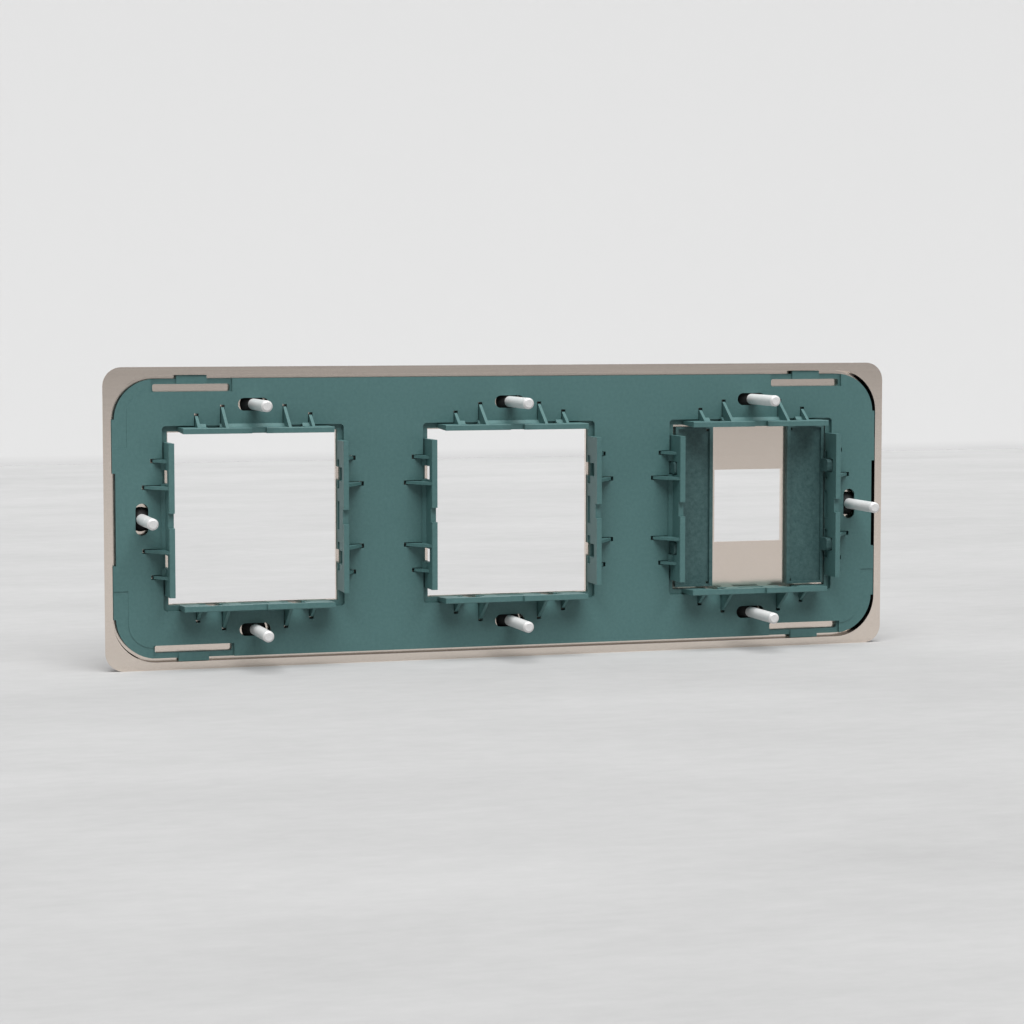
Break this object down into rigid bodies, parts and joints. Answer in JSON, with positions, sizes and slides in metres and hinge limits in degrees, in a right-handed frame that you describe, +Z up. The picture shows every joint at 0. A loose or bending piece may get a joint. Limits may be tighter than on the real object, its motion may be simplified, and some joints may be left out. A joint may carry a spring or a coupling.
{
  "type": "modular switch frame",
  "caption": "Wide metal wall frame with a moulded carrier, square snap-in module bays and countersunk wall-box screws behind.",
  "frame": {"origin": "middle of the frame, on the back plane that meets the wall", "axes": "+Z up, +Y towards the wall and the boxes, the visible metal front faces -Y, +X to the right seen from the front"},
  "size_m": [0.222, 0.0213, 0.08],
  "materials": {
    "plate_metal": "satin",
    "moulding": "matte",
    "screw_steel": "polished"
  },
  "bodies": {
    "frame": {"carrier": "moulding", "clip_frame_left": "moulding", "clip_frame_middle": "moulding", "clip_frame_right": "moulding", "spacer_inner": "moulding", "spacer_outer": "moulding", "screw_top_left": "screw_steel", "screw_bottom_left": "screw_steel", "screw_top_middle": "screw_steel", "screw_bottom_middle": "screw_steel", "screw_top_right": "screw_steel", "screw_bottom_right": "screw_steel", "screw_end_left": "screw_steel", "screw_end_right": "screw_steel"},
    "front": {"front_plate": "plate_metal"}
  },
  "joints": [
    {"name": "front_plate_unclip", "type": "slide", "parent": "frame", "child": "front", "axis": [0, -1, 0], "range_m": [0, 0.012]}
  ]
}
